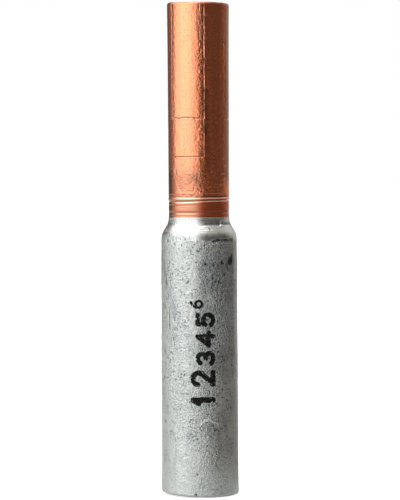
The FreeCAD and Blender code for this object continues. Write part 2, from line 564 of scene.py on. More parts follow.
def new_piece(name: str, points: list, faces: Faces, finish: bpy.types.Material) -> bpy.types.Object:
    """Makes a mesh object, puts it in the scene and reports it.

    Args:
        name: The object's name.
        points: Its points in metres.
        faces: Its faces, as numbers of points.
        finish: Its material.

    Returns:
        The object.
    """
    mesh = bpy.data.meshes.new(name)
    mesh.from_pydata(points, [], faces)
    mesh.materials.append(finish)
    piece = bpy.data.objects.new(name, mesh)
    bpy.context.scene.collection.objects.link(piece)
    LOG.info("%s: %d points, %d faces", name, len(mesh.vertices), len(mesh.polygons))
    return piece


@dataclass(frozen=True)
class CopperFinish:
    """Drawn copper: warm and bright under a thin film of oil, with an uneven skin and a turned band."""

    bright: Colour = (0.795, 0.262, 0.124)
    # Painted shade: a more saturated copy of the copper for the shaded right side.
    oxide: Colour = (0.92, 0.250, 0.098)
    tarnished: Colour = (0.54, 0.132, 0.047)
    fresh: Colour = (0.58, 0.112, 0.034)
    # Painted highlight: a paler copy of the copper for the lit left side.
    rubbed: Colour = (0.475, 0.208, 0.116)
    scuff: Colour = (0.42, 0.152, 0.080)
    # Fresh bare copper, whose pale colour is also a painted highlight.
    bare: Colour = (0.93, 0.50, 0.37)
    # Dark dirt, also the colour of painted shade in grooves, lines and streaks on the right.
    dirt: Colour = (0.10, 0.028, 0.013)
    edge_tint: Colour = (0.95, 0.62, 0.46)
    film: float = 0.75
    film_roughness: float = 0.12
    roughness: float = 0.15
    roughness_swing: float = 0.10
    turned_roughness: float = 0.09
    cut_roughness: float = 0.2

    def material(self) -> bpy.types.Material:
        """Builds the copper finish.

        Returns:
            The material.
        """
        material, sheet = new_finish("drawn_copper")
        place, turned = sheet.place(), sheet.worn("turned")
        raw = sheet.calculate("SUBTRACT", 1.0, turned)
        fine = sheet.grain(place, 4200.0, 3.0, 0.6)
        streak = sheet.grain(sheet.stretched(place, (1.0, 1.0, 0.02)), 1500.0, 4.0, 0.65)
        stain = sheet.ramp(sheet.plus(fine, 0.55, sheet.times(streak, 0.45)), [(0.37, 1.0), (0.57, 0.0)])
        stain = sheet.times(stain, sheet.plus(raw, 0.50, 0.15))
        layers = [
            # Painted shade: the shaded right side is coloured more saturated.
            ("oxide", self.oxide),
            (turned, self.fresh),
            # Painted highlight: the lit left of the band, and the skin over it, is coloured paler.
            ("rubbed", self.rubbed),
            (stain, self.tarnished),
            ("scuffed", self.scuff),
            # Dirt, with painted shade in grooves and lines, in streaks on the right and at the band's left
            # edge.
            ("dirty", self.dirt),
            # Bare metal, with painted highlights on groove and line walls and on raised marks.
            ("bare", self.bare),
        ]
        rough = sheet.plus(sheet.grain(place, 420.0, 3.0, 0.6), self.roughness_swing, self.roughness)
        rough = sheet.plus(turned, self.turned_roughness, rough)
        peel = sheet.grain(sheet.stretched(place, (1.0, 1.0, 0.5)), 3100.0, 3.0, 0.65)
        torn = sheet.grain(sheet.stretched(place, (0.85, 0.85, 1.05)), 2600.0, 2.0, 0.55)
        rasp = sheet.grain(place, 2900.0, 2.0, 0.6)
        sheet.dress(
            Base_Color=sheet.layered(self.bright, layers),
            Metallic=1.0,
            Specular_Tint=self.edge_tint,
            Coat_Weight=self.film,
            Coat_Roughness=self.film_roughness,
            Roughness=sheet.plus(sheet.worn("cut"), self.cut_roughness, rough),
            Normal=sheet.bumped(
                (sheet.faded(peel, raw), 0.045),
                (sheet.faded(torn, "chewed"), 0.135),
                (sheet.faded(rasp, "scuffed"), 0.110),
                (streak, 0.008),
                (sheet.faded(sheet.tooled(place), turned), 0.016),
            ),
        )
        return material


@dataclass(frozen=True)
class AluminiumFinish:
    """Aluminium tube: dull, pitted and mottled, and bright where it has been turned."""

    dull: Colour = (0.484, 0.505, 0.489)
    # Painted shade: a darker copy of the aluminium for the shaded right side, also used for darker patches.
    soiled: Colour = (0.294, 0.312, 0.314)
    smudge: Colour = (0.27, 0.31, 0.33)
    dirt: Colour = (0.13, 0.14, 0.135)
    speck: Colour = (0.05, 0.054, 0.052)
    scratch: Colour = (0.82, 0.84, 0.82)
    turned: Colour = (0.63, 0.64, 0.625)
    pit: Colour = (0.02, 0.02, 0.018)
    roughness: float = 0.47
    roughness_swing: float = 0.10
    smoother: float = -0.24
    turned_roughness: float = 0.20

    def material(self) -> bpy.types.Material:
        """Builds the aluminium finish.

        Returns:
            The material.
        """
        material, sheet = new_finish("drawn_aluminium")
        place, turned, grainy = sheet.place(), sheet.worn("turned"), sheet.worn("grainy")
        raw = sheet.calculate("SUBTRACT", 1.0, turned)
        mottle = sheet.grain(place, 2700.0, 3.0, 0.65)
        fine = sheet.grain(place, 5200.0, 2.0, 0.6)
        cloud = sheet.grain(sheet.stretched(place, (1.0, 1.0, 0.12)), 300.0, 3.0, 0.6)
        patchy = sheet.ramp(sheet.grain(place, 420.0, 2.0), [(0.38, 0.35), (0.62, 1.0)])
        patchy = sheet.times(patchy, sheet.worn("speckled"))
        grime = sheet.plus(fine, 0.40, sheet.plus(mottle, 0.45, sheet.times(cloud, 0.15)))
        grime = sheet.ramp(grime, [(0.40, 1.0), (0.49, 0.0)])
        smear = sheet.grain(sheet.stretched(place, (1.0, 1.0, 0.5)), 820.0, 3.0, 0.65)
        smear = sheet.ramp(smear, [(0.50, 0.0), (0.62, 1.0)])
        dots = sheet.ramp(sheet.grain(place, 3600.0, 1.0, 0.5), [(0.31, 1.0), (0.37, 0.0)])
        layers = [
            # Painted shade on the right, with darker patches.
            ("soiled", self.soiled),
            (sheet.times(smear, sheet.worn("smeared")), self.smudge),
            (sheet.times(grime, sheet.times(patchy, 0.8, clamp=True)), self.dirt),
            (sheet.times(dots, patchy, clamp=True), self.speck),
            (turned, self.turned),
            ("scratched", self.scratch),
            # Pits and dark marks, with a patch of painted shade.
            ("pitted", self.pit),
        ]
        rough = sheet.plus(grainy, self.smoother, sheet.plus(cloud, self.roughness_swing, self.roughness))
        uneven = sheet.times(raw, grainy)
        sheet.dress(
            Base_Color=sheet.layered(self.dull, layers),
            Metallic=1.0,
            Roughness=sheet.plus(turned, self.turned_roughness, sheet.times(rough, raw)),
            Normal=sheet.bumped(
                (sheet.faded(mottle, uneven), 0.11),
                (sheet.faded(fine, uneven), 0.15),
                (sheet.faded(sheet.tooled(place), turned), 0.024),
            ),
        )
        return material


@dataclass(frozen=True)
class InkFinish:
    """Printer's ink: near black and a little uneven, with a low sheen."""

    dark: Colour = (0.004, 0.004, 0.004)
    thin: Colour = (0.018, 0.018, 0.018)
    roughness: float = 0.55
    sheen: float = 0.06

    def material(self) -> bpy.types.Material:
        """Builds the ink finish.

        Returns:
            The material.
        """
        material, sheet = new_finish("black_ink")
        blot = sheet.ramp(sheet.grain(sheet.place(), 3000.0, 2.0), [(0.45, 0.0), (0.7, 1.0)])
        colour = sheet.mixed(blot, self.dark, self.thin)
        sheet.dress(Base_Color=colour, Roughness=self.roughness, Specular_IOR_Level=self.sheen)
        return material


@dataclass
class Barrel:
    """One blind-bored barrel of the sleeve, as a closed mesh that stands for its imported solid.

    Its bore runs inward from its mouth, upward for 1 and downward for -1, and its outside runs from
    the mouth to the weld.
    """

    node: str
    slot: str
    inward: int
    skin_radius: float
    neck_radius: float
    bore_depth: float
    rim_round: float
    bore_rings: int
    points_front: int
    points_back: int
    rings_turned: tuple[Ring, ...]
    lines: tuple[Bite, ...]
    marks: tuple[Mark, ...]
    bore_radius: float = 3.0
    drill_rise: float = 1.803
    bevel: float = 0.3

    def __post_init__(self) -> None:
        """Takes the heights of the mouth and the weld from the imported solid."""
        ends = [end.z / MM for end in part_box(self.node)]
        self.mouth, self.weld = ends[:: self.inward]

    def mouth_radius(self) -> float:
        """The barrel's outer radius at its mouth."""
        raise NotImplementedError

    def outside(self) -> Array:
        """The outside's outline from the mouth's rounded rim to the weld, as (radius, height) rows."""
        raise NotImplementedError

    def relief(self, at: Skin) -> Array:
        """How far the skin stands proud of the plain turned form at each point."""
        raise NotImplementedError

    def settle(self, at: Skin, radius: Array) -> Array:
        """How far the cut of the mouth moves each point, which has its own radius, along the axis."""
        raise NotImplementedError

    def shares(self, at: Skin, rings: Rings) -> dict[str, Array]:
        """The named shares that the finish reads, one value for each point."""
        raise NotImplementedError

    def turns(self) -> Array:
        """The turns at which every ring has a point, closer together in front.

        Returns:
            The turns, in order, from 0.
        """
        front = np.linspace(-FRONT, FRONT, self.points_front, endpoint=False)
        back = np.linspace(FRONT, FULL_TURN - FRONT, self.points_back, endpoint=False)
        return np.sort(np.concatenate([front, back]) % FULL_TURN)

    def turning(self, at: Skin) -> Array:
        """How far the rings that the lathe tool left stand proud, below zero in the grooves."""
        return -sum(ring.press(at.above(self.weld)) for ring in self.rings_turned)

    def pressed(self, at: Skin, marks: tuple[Mark, ...]) -> Array:
        """How far the bitten lines and those marks sink the skin at each point."""
        bites = sum(line.press(at) for line in self.lines)
        return bites + sum(mark.depth * mark.press(at) for mark in marks)

    def rings(self) -> Rings:
        """The barrel's whole outline, from the bottom of its bore to the middle of its weld face.

        Returns:
            Its rings.
        """
        bottom = self.mouth + self.inward * self.bore_depth
        lip = self.mouth + self.inward * self.bevel
        rim = (self.mouth_radius() - self.rim_round, self.mouth + self.inward * self.rim_round)
        face_inner = self.bore_radius + self.bevel
        drilled = (CENTRE, bottom + self.inward * self.drill_rise)
        turned_rim = oval(rim, (self.rim_round, self.rim_round), -85.0 * self.inward, -5.0 * self.inward, 6)
        return Rings.through(
            [
                (np.linspace(drilled, (self.bore_radius, bottom), 5), 0.0),
                (np.linspace((self.bore_radius, bottom), (self.bore_radius, lip), self.bore_rings), 0.0),
                (np.linspace((self.bore_radius, lip), (face_inner, self.mouth), 3), 0.0),
                (np.linspace((face_inner + STEP_IN, self.mouth), (rim[0], self.mouth), 7), 0.0),
                (turned_rim, 0.6),
                (self.outside(), 1.0),
                (np.linspace((self.neck_radius - STEP_IN, self.weld), (CENTRE, self.weld), 3), 0.0),
            ]
        )

    def ground(self, at: Skin) -> Array:
        """How far the barrel's facets, which lie between its points, stand proud at each point.

        Args:
            at: The points, on its outside.

        Returns:
            Millimetres beyond the plain turned form.
        """
        rings = self.rings()
        heights, turns = np.sort(rings.height[rings.skin == 1.0]), self.turns()
        proud = self.relief(Skin(turns[None, :], heights[:, None], self.skin_radius))
        turn = at.turn % FULL_TURN
        row = np.clip(np.searchsorted(heights, at.height) - 1, 0, len(heights) - 2)
        column = np.clip(np.searchsorted(turns, turn) - 1, 0, len(turns) - 1)
        beside = (column + 1) % len(turns)
        across = (turn - turns[column]) / ((turns[beside] - turns[column]) % FULL_TURN)
        up = (at.height - heights[row]) / (heights[row + 1] - heights[row])
        return blended(proud, row, column, beside, across, up)

    def build(self, finish: bpy.types.Material) -> bpy.types.Object:
        """Makes the mesh, dresses it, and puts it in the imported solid's place.

        Args:
            finish: The barrel's material.

        Returns:
            The new object, riding on the sleeve's body.
        """
        rings = self.rings()
        at = Skin(self.turns()[None, :], rings.height[:, None], self.skin_radius)
        radius = rings.radius[:, None]
        proud = self.relief(at) * rings.skin[:, None]
        high = at.height + rings.up[:, None] * proud + self.settle(at, radius)
        points = np.stack([*about_axis(radius + rings.out[:, None] * proud, at.turn), high], axis=2)
        ends = [[0.0, 0.0, float(high[row].mean())] for row in (0, -1)]
        vertices = np.concatenate([points.reshape(-1, 3), ends]) * MM
        faces = self.faces(*high.shape, rings.climbs)
        piece = new_piece(f"{self.node}_skin", vertices.tolist(), faces, finish)
        piece.data.shade_smooth()
        for name, share in self.shares(at, rings).items():
            layer = piece.data.attributes.new(name, "FLOAT", "POINT")
            values = np.concatenate([np.broadcast_to(share, high.shape).ravel(), [0.0, 0.0]])
            layer.data.foreach_set("value", values.astype(np.float32))
        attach(piece, BODY)
        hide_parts(self.node)
        return piece

    @staticmethod
    def faces(rows: int, columns: int, climbs: bool) -> Faces:
        """Joins the rings with quads, and closes both ends with fans.

        Args:
            rows: How many rings.
            columns: How many points on each.
            climbs: Whether the rings run up the outside.

        Returns:
            The faces, each a tuple of point numbers, turned outward.
        """
        here = np.arange(rows * columns).reshape(rows, columns)
        beside = np.roll(here, -1, axis=1)
        quads = np.stack([here[:-1], here[1:], beside[1:], beside[:-1]], axis=2).reshape(-1, 4)
        faces = [tuple(quad) for quad in quads.tolist()]
        tip, heart = rows * columns, rows * columns + 1
        faces += [(tip, a, b) for a, b in zip(here[0].tolist(), beside[0].tolist())]
        faces += [(heart, b, a) for a, b in zip(here[-1].tolist(), beside[-1].tolist())]
        return [face[::-1] for face in faces] if climbs else faces


@dataclass
class CopperBarrel(Barrel):
    """The copper barrel: turned band at the weld, jaw lines along it, and a sawn mouth with a burr.

    A stain is a mark whose depth is the strength of its dirt.
    """

    node: str = "copper_barrel"
    slot: str = "copper"
    inward: int = -1
    skin_radius: float = 4.4
    neck_radius: float = 4.4
    raw_radius: float = 4.37
    top_radius: float = 4.475
    bore_depth: float = 25.0
    rim_round: float = 0.35
    bore_rings: int = 9
    points_front: int = 186
    points_back: int = 72
    neck_length: float = 3.7
    band_length: float = 3.05
    ringed_length: float = 4.4
    soft_edge: float = 0.15
    burr: float = 0.16
    jaws: tuple[float, ...] = (0.0, 120.0, 240.0)
    rings_turned: tuple[Ring, ...] = (
        Ring(4.15, 0.12, 0.12, 0.012),
        Ring(3.47, 0.14, 0.12, -0.040),
        Ring(2.85, 0.36, 0.20, 0.030, 0.005, bare=0.95, more_right=0.8),
        Ring(2.66, 0.22, 0.30, -0.062, 0.025, more_right=0.6),
        Ring(2.34, 0.20, 0.18, 0.080, 0.12, bare=0.85, more_right=0.7),
        Ring(2.06, 0.10, 0.10, 0.012),
        Ring(1.78, 0.14, 0.14, 0.045, 0.06),
        Ring(1.46, 0.08, 0.08, 0.008),
        Ring(1.18, 0.10, 0.10, 0.012),
        Ring(0.66, 0.34, 0.22, 0.050, 0.02, bare=0.2),
        Ring(0.24, 0.12, 0.12, 0.020),
    )
    lines: tuple[Bite, ...] = (
        Bite(Run.ALONG, 9.4, 49.1, 54.6, width=0.22, depth=0.03, lip=0.004),
        Bite(Run.ALONG, 10.0, 54.6, 71.5, depth=0.045, lip=0.006, wander=0.04),
        Bite(Run.ALONG, 129.6, 49.1, 71.5),
        Bite(Run.ALONG, -110.4, 49.1, 71.5),
        Bite(Run.ROUND, 49.1, -56.0, 8.4, wander=0.05),
        Bite(Run.ROUND, 49.1, 130.0, 250.0, wander=0.03),
        Bite(Run.ALONG, -57.8, 54.55, 71.5),
        Bite(Run.ALONG, 62.2, 54.55, 71.5, depth=0.04),
        Bite(Run.ALONG, -177.8, 54.55, 71.5),
        Bite(Run.ROUND, 54.65, -54.0, 8.4, wander=0.10),
        Bite(Run.ROUND, 54.55, 62.0, 180.0),
        Bite(Run.ALONG, 3.2, 65.2, 71.5, width=0.16, depth=0.022, lip=0.003, wander=0.12),
    )
    marks: tuple[Mark, ...] = (
        Mark(14.5, 69.4, 0.6, 0.2, -0.055, 70.0),
        Mark(-15.0, 69.75, 0.20, 2.6, 0.010, 2.0),
        Mark(-38.0, 70.0, 0.22, 1.4, 0.012, -8.0),
        Mark(-58.0, 70.5, 0.7, 0.6, 0.05, 30.0),
        Mark(14.0, 67.6, 0.30, 0.22, -0.035, 35.0),
        Mark(13.6, 66.8, 0.35, 0.2, -0.04, -30.0),
        Mark(15.4, 66.2, 0.40, 0.22, -0.045, 20.0),
        Mark(14.2, 63.3, 0.30, 0.2, -0.03, 0.0),
        Mark(6.3, 68.1, 0.35, 0.2, 0.045, 35.0),
        Mark(5.6, 67.0, 0.45, 0.2, 0.05, -30.0),
        Mark(6.5, 65.6, 0.55, 0.22, 0.045, -50.0),
        Mark(4.0, 64.4, 0.5, 0.22, 0.04, 30.0),
        Mark(14.8, 58.5, 1.3, 0.55, 0.05, -32.0),
        Mark(13.8, 56.0, 1.5, 0.60, 0.04, 10.0),
        Mark(12.8, 53.2, 2.2, 0.55, 0.03, -8.0),
        Mark(-3.0, 51.7, 0.6, 0.22, 0.04, 40.0),
        Mark(44.3, 60.7, 0.4, 0.22, -0.04, 60.0),
        Mark(55.0, 65.2, 0.5, 0.2, -0.03, -30.0),
        Mark(59.0, 62.9, 0.35, 0.2, -0.03, 10.0),
        Mark(60.5, 59.2, 0.30, 0.2, -0.03, -20.0),
        Mark(57.5, 57.4, 0.35, 0.2, -0.03, 30.0),
        Mark(52.0, 46.7, 1.0, 0.2, -0.02, 88.0),
        Mark(57.0, 45.9, 0.9, 0.2, -0.02, 80.0),
        Mark(50.0, 45.1, 1.1, 0.2, -0.02, 92.0),
        Mark(60.0, 47.8, 0.6, 0.2, -0.02, 60.0),
        Mark(54.0, 48.9, 0.5, 0.2, -0.02, 40.0),
        Mark(-46.0, 46.3, 1.7, 0.24, 0.026, -20.0),
        Mark(-40.0, 44.6, 1.0, 0.24, 0.04, -40.0),
        Mark(-12.0, 45.6, 0.8, 0.27, 0.030, 35.0),
        Mark(-2.0, 46.0, 1.1, 0.27, 0.028, 15.0),
        Mark(-21.0, 45.0, 0.6, 0.27, 0.030, 60.0),
        Mark(-8.0, 44.8, 0.8, 0.27, 0.030, 5.0),
        Mark(8.0, 45.4, 0.6, 0.25, 0.025, -20.0),
    )
    nicks: tuple[Mark, ...] = scatter(19, 110, (45.0, 70.8), 0.6, 0.026)
    stains: tuple[Mark, ...] = (
        Mark(16.5, 58.6, 1.1, 0.40, 0.75, -35.0),
        Mark(14.4, 56.1, 1.3, 0.45, 0.75, 5.0),
        Mark(13.4, 53.2, 2.2, 0.55, 0.75, -6.0),
        Mark(-6.0, 46.2, 1.6, 1.3, 0.30, 15.0),
    )

    def mouth_radius(self) -> float:
        """The barrel's outer radius at its mouth."""
        return self.top_radius

    def turns(self) -> Array:
        """Even turns, with more points at each line along the barrel.

        Returns:
            The turns, in order, from 0.
        """
        places = [line.place for line in self.lines if line.run is Run.ALONG]
        extra = [(place + step) % FULL_TURN for place in places for step in (-1.9, -0.8, 0.35, 1.4)]
        return np.unique(np.round(np.concatenate([super().turns(), extra]), 3))

    def outside(self) -> Array:
        """The outside's outline from the mouth's rounded rim to the weld.

        Returns:
            Its (radius, height) rows: the drawn tube, then the turned band with its rings.
        """
        rows = {line.place for line in self.lines if line.run is Run.ROUND}
        ringed_top = self.weld + self.ringed_length
        upper = spaced(self.mouth - self.rim_round, ringed_top, 0.17, tuple(rows))
        wall = np.concatenate([upper, np.linspace(ringed_top - 0.03, self.weld, 88)])
        neck_top = self.weld + self.neck_length
        share = np.clip((wall - neck_top) / (self.mouth - neck_top), 0.0, 1.0)
        return np.stack([self.raw_radius + (self.top_radius - self.raw_radius) * share, wall], axis=1)

    def band_edge(self, at: Skin) -> Array:
        """How high the turned band reaches at each turn: the tool met the tube unevenly.

        Args:
            at: The points.

        Returns:
            Heights in millimetres.
        """
        climb = 3.0 * smooth(-32.0, -58.0, at.side()) * smooth(-165.0, -110.0, at.side())
        wave = 0.30 * at.round_grain(21, 17) + 0.16 * at.round_grain(22, 53)
        return self.weld + self.band_length + climb + wave

    def relief(self, at: Skin) -> Array:
        """How far the skin stands proud of the plain turned form at each point.

        Args:
            at: The points.

        Returns:
            Millimetres: the drawn skin over the band, bruised and chewed by the jaws, and the rings.
        """
        edge = self.band_edge(at)
        raw = smooth(edge - self.soft_edge, edge + self.soft_edge, at.height)
        scuffed = raw * bell(at.height, edge, 2.2) * (0.08 + 0.92 * self.rubbed_side(at))
        chewed = raw * self.chewed(at)
        proud = at.rough((0.009, 11, 58, 0.85), (0.009, 12, 150, 0.30)) * (1.0 - 0.6 * chewed)
        proud = proud + at.rough((0.005, 13, 46, 9.0), (0.02, 14, 5, 9.0))
        proud = proud * (0.10 + 0.90 * raw) + 0.025 * (1.0 - raw)
        proud = proud + scuffed * at.rough((0.014, 15, 64, 0.42), (0.018, 18, 120, 0.20))
        proud = proud + chewed * at.rough((0.011, 27, 76, 0.19), (0.010, 28, 140, 0.24))
        return proud + self.turning(at) - self.pressed(at, self.marks + self.nicks)

    def chewed(self, at: Skin) -> Array:
        """How much of the skin beside each jaw line the three jaws have chewed up."""
        share = sum(at.streak(4.4 + jaw, 4.9) + 0.4 * at.streak(57.0 + jaw, 6.0) for jaw in self.jaws)
        return np.clip(share, 0.0, 1.0) * smooth(48.0, 52.0, at.height)

    def turning(self, at: Skin) -> Array:
        """How far the band's rings stand proud, a little more at some turns than at others."""
        return super().turning(at) * (0.88 + 0.14 * at.round_grain(17, 24))

    def settle(self, at: Skin, radius: Array) -> Array:
        """How far the saw cut and its burr move each point along the axis.

        Args:
            at: The points.
            radius: The radius of each.

        Returns:
            Millimetres, which fade out below the mouth.
        """
        near = smooth(self.mouth - 1.2, self.mouth - 0.05, at.height)
        lean = -0.004 * np.sin(np.radians(at.turn)) * radius
        outer = smooth(self.top_radius - 0.5, self.top_radius - 0.1, radius)
        burr = self.burr * smooth(34.0, 20.0, np.abs(at.side(-82.0))) * outer
        return near * (lean + 0.02 * at.round_grain(16, 40) + burr)

    def shares(self, at: Skin, rings: Rings) -> dict[str, Array]:
        """The named shares that the finish reads.

        Args:
            at: The points.
            rings: The rings they lie on.

        Returns:
            Turned, cut, scuffed, the painted pale highlight on the left, bare metal with painted
            highlights, dirt with painted shade, chewed, and the painted shade colour on the right, for each
            point.
        """
        edge = self.band_edge(at)
        face = (np.abs(rings.up) > 0.9) & (rings.height > self.mouth - 0.1)
        inside = (rings.skin < 0.5) & (rings.height < self.mouth - 0.1)
        worn = {
            "turned": smooth(edge + self.soft_edge, edge - self.soft_edge, at.height),
            "scuffed": self.scuffed(at),
            "rubbed": self.rubbed(at),
            "bare": self.bare(at),
            "dirty": self.dirty(at),
            "chewed": self.chewed(at),
            # Painted shade: the copper grows more saturated from the front towards the shaded right.
            "oxide": smooth(0.0, 16.0, at.side()),
        }
        worn = {name: share * rings.skin[:, None] for name, share in worn.items()}
        # Painted shade on the rim's right side goes in with the dirt share.
        worn["dirty"] = np.maximum(worn["dirty"], self.painted_rim_shade(at))
        return worn | {"cut": (face * 1.0 + inside * 0.8)[:, None]}

    def bare(self, at: Skin) -> Array:
        """How much of the skin is bright bare metal with a painted highlight: the walls of grooves and
        lines, and raised marks.

        Args:
            at: The points.

        Returns:
            Shares from 0 to 1.
        """
        lines = [line.worn(at)[0] for line in self.lines]
        grooves = [ring.cut(at.above(self.weld)) for ring in self.rings_turned]
        raised = [0.8 * smooth(0.2, 0.7, mark.press(at)) for mark in self.marks if mark.depth < 0]
        return np.clip(strongest(*lines, *grooves, *raised), 0.0, 1.0)

    def dirty(self, at: Skin) -> Array:
        """How much dirt and painted shade lie at each point.

        Args:
            at: The points.

        Returns:
            Shares from 0 to 1: dirt and painted shade in lines and grooves, darker streaks up the skin,
            with painted shade in those on the right and at the band's left edge, painted shade in two
            thin rings near the top of the turned band on the right, and dirt in the stains.
        """
        over, side = at.above(self.weld), at.side()
        deep = [0.7 * min(1.0, max(ring.depth, 0.0) / 0.08) for ring in self.rings_turned]
        walls = [ring.wall(over.above(ring.over * 0.4)) for ring in self.rings_turned]
        low = ((45.5, 48.5), (57.5, 54.0))
        right = smooth(80.0, 60.0, side)
        # Painted shade: line and groove walls, streaks on the right, the band's left edge, and two rings on
        # the right.
        dirt = [
            *(line.worn(at)[1] for line in self.lines),
            *(share * wall for share, wall in zip(deep, walls)),
            0.40 * at.streak(16.0, 4.5, *low) + 0.50 * at.streak(60.0, 9.0, *low),
            (0.68 + 0.16 * smooth(64.0, 57.0, at.height)) * at.streak(71.0, 18.0, (44.6, 46.4)),
            0.48 * at.streak(13.0, 4.5, (49.4, 51.0), (61.0, 57.5)),
            at.streak(-71.0, 8.5, head=(47.8, 46.0)),
            0.45 * at.streak(6.5, 3.6, (54.6, 56.5)) + 0.20 * at.streak(-53.5, 2.0, (54.6, 56.5)),
            0.95 * bell(over.height, 3.02, 0.10) * smooth(-4.0, 6.0, side) * right,
            0.95 * bell(over.height, 2.60, 0.10) * smooth(0.0, 20.0, side) * right,
            *(stain.depth * smooth(0.2, 0.8, stain.press(at)) for stain in self.stains),
        ]
        return np.clip(strongest(*dirt), 0.0, 1.0)

    def painted_rim_shade(self, at: Skin) -> Array:
        """Painted shade: how dark the rounded rim of the mouth is painted, on the right."""
        level = smooth(self.mouth - 0.4, self.mouth - 0.15, at.height)
        return 0.85 * smooth(50.0, 32.0, np.abs(at.side(44.0))) * level

    @staticmethod
    def rubbed_side(at: Skin) -> Array:
        """How near each turn is to the side on which the skin over the band is scuffed."""
        return smooth(44.0, 30.0, np.abs(at.side(-26.0)))

    def scuffed(self, at: Skin) -> Array:
        """How much of the rubbed, darker copper just above the turned band is at each point.

        Args:
            at: The points.

        Returns:
            Shares from 0 to 1.
        """
        over = at.height - self.weld
        patch = np.clip(0.75 + at.rough((0.6, 25, 60, 0.45)), 0.0, 1.0)
        return smooth(6.9, 5.9, over) * smooth(3.9, 5.0, over) * (0.06 + 0.9 * self.rubbed_side(at)) * patch

    def rubbed(self, at: Skin) -> Array:
        """Painted highlight: how pale the lit left of the band, and the skin over it, is painted.

        Args:
            at: The points.

        Returns:
            Shares from 0 to 1.
        """
        side, over = at.side(), at.height - self.weld
        place = smooth(12.0, -12.0, side) * smooth(-150.0, -110.0, side)
        place = place * (1.0 - 0.45 * bell(side, -58.0, 12.0))
        return place * (0.72 + 0.28 * smooth(3.3, 2.9, over)) * smooth(8.6, 6.4, over)


